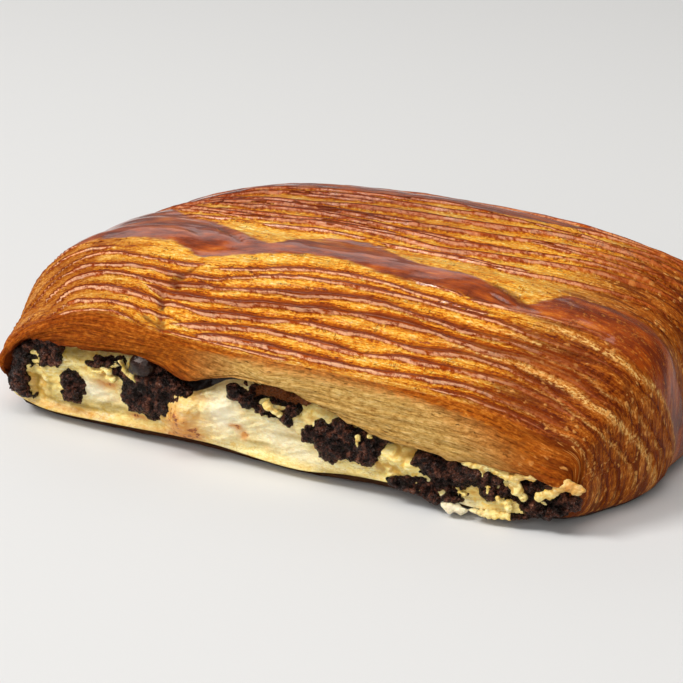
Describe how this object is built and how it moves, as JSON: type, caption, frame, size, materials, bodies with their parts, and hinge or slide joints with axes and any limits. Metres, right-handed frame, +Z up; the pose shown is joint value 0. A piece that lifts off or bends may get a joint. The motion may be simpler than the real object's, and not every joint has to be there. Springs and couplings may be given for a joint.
{
  "type": "chocolate brioche pastry",
  "caption": "Oblong laminated brioche pastry, ridged and glazed on top, open along both long sides on its pastry cream and dark chocolate filling.",
  "frame": {"origin": "under the middle of the pastry's box, on the surface it stands on", "axes": "+X along the pastry to the end seen on the right of its front cut side, -Y out of the front cut side, +Z up"},
  "size_m": [0.14, 0.084, 0.04],
  "materials": {
    "glazed_dough": "egg-glazed baked laminated dough, glossy dark ridges with rough golden flaky bands between them",
    "cream": "baked pastry cream, pale yellow, moist, crumbly",
    "chocolate": "dark baked chocolate, rough broken lumps with a dull sheen"
  },
  "bodies": {
    "root": {"brioche_dough": "glazed_dough", "pastry_cream": "cream", "chocolate_lining_left": "chocolate", "chocolate_shard_left": "chocolate", "chocolate_chunk_left": "chocolate", "chocolate_chip": "chocolate", "chocolate_pocket": "chocolate", "chocolate_chunk_middle": "chocolate", "chocolate_seam_right": "chocolate", "chocolate_chunk_right": "chocolate", "chocolate_end_right": "chocolate"}
  },
  "joints": []
}
